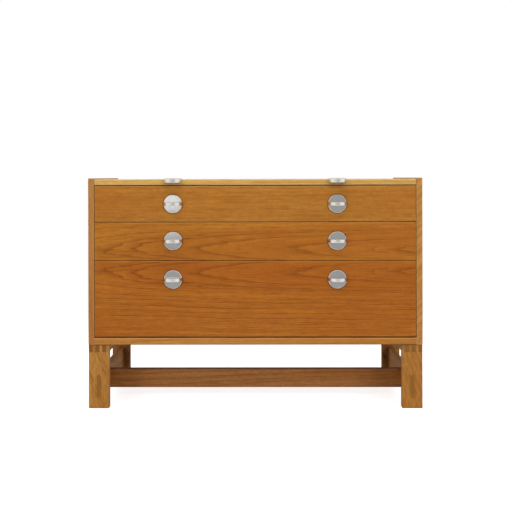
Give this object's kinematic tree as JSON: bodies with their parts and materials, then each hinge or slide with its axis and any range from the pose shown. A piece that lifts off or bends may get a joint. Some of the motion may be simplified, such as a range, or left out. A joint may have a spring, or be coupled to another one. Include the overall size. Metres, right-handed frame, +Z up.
{
  "type": "chest of drawers",
  "caption": "Oak chest of drawers with a lift-up lid, round metal pulls with half-moon grips, and a separate low base of joined leg frames.",
  "frame": {"origin": "on the floor, under the middle of the whole chest's bounding box, grips included", "axes": "+Z up; the drawers open towards -Y; +X to the right of someone facing the drawers"},
  "size_m": [1.05, 0.479, 0.724],
  "materials": {
    "oak_side": "oiled oak, vertical grain",
    "oak_panel": "oiled oak, golden, horizontal grain",
    "oak_drawer_front": "oiled oak veneer, orange brown, horizontal grain",
    "oak_base": "oiled solid oak",
    "beech": "waxed beech",
    "plywood": "clear lacquered plywood",
    "satin_metal": "satin",
    "hinge_brass": "satin",
    "screw_steel": "satin",
    "felt": "brown felt"
  },
  "bodies": {
    "case": {"side_panel_left": "oak_side", "side_panel_right": "oak_side", "bottom_panel": "oak_panel", "back_panel": "plywood", "rear_rail": "oak_panel", "compartment_floor": "plywood", "compartment_front": "beech", "felt_pads": "felt", "back_screws": "screw_steel", "runner_screws": "screw_steel", "hinge_rail_leaves": "hinge_brass", "hinge_pins": "hinge_brass", "hinge_rail_screws": "screw_steel", "base_screws": "screw_steel", "leg_front_left": "oak_base", "leg_front_right": "oak_base", "leg_rear_left": "oak_base", "leg_rear_right": "oak_base", "base_top_rail_left": "oak_base", "base_top_rail_right": "oak_base", "base_side_rail_left": "oak_base", "base_side_rail_right": "oak_base", "stretcher": "oak_base", "drawer_1_runner_left": "beech", "drawer_1_runner_right": "beech", "drawer_2_runner_left": "beech", "drawer_2_runner_right": "beech", "drawer_3_runner_left": "beech", "drawer_3_runner_right": "beech"},
    "lid": {"lid_panel": "oak_panel", "lid_grip_left": "satin_metal", "lid_grip_right": "satin_metal", "lid_grip_screws": "screw_steel", "hinge_lid_leaves": "hinge_brass", "hinge_lid_screws": "screw_steel"},
    "drawer_1": {"drawer_1_front": "oak_drawer_front", "drawer_1_side_left": "beech", "drawer_1_side_right": "beech", "drawer_1_back": "beech", "drawer_1_bottom": "plywood", "drawer_1_pull_left": "satin_metal", "drawer_1_pull_right": "satin_metal", "drawer_1_pull_screws": "screw_steel"},
    "drawer_2": {"drawer_2_front": "oak_drawer_front", "drawer_2_side_left": "beech", "drawer_2_side_right": "beech", "drawer_2_back": "beech", "drawer_2_bottom": "plywood", "drawer_2_pull_left": "satin_metal", "drawer_2_pull_right": "satin_metal", "drawer_2_pull_screws": "screw_steel"},
    "drawer_3": {"drawer_3_front": "oak_drawer_front", "drawer_3_side_left": "beech", "drawer_3_side_right": "beech", "drawer_3_back": "beech", "drawer_3_bottom": "plywood", "drawer_3_pull_left": "satin_metal", "drawer_3_pull_right": "satin_metal", "drawer_3_pull_screws": "screw_steel"}
  },
  "joints": [
    {"name": "drawer_1_slide", "type": "slide", "parent": "case", "child": "drawer_1", "axis": [0, -1, 0], "range_m": [0, 0.3]},
    {"name": "drawer_2_slide", "type": "slide", "parent": "case", "child": "drawer_2", "axis": [0, -1, 0], "range_m": [0, 0.3]},
    {"name": "drawer_3_slide", "type": "slide", "parent": "case", "child": "drawer_3", "axis": [0, -1, 0], "range_m": [0, 0.3]},
    {"name": "lid_hinge", "type": "hinge", "parent": "case", "child": "lid", "pos_m": [0, 0.211, 0.7205], "axis": [-1, 0, 0], "range_deg": [0, 95]}
  ]
}
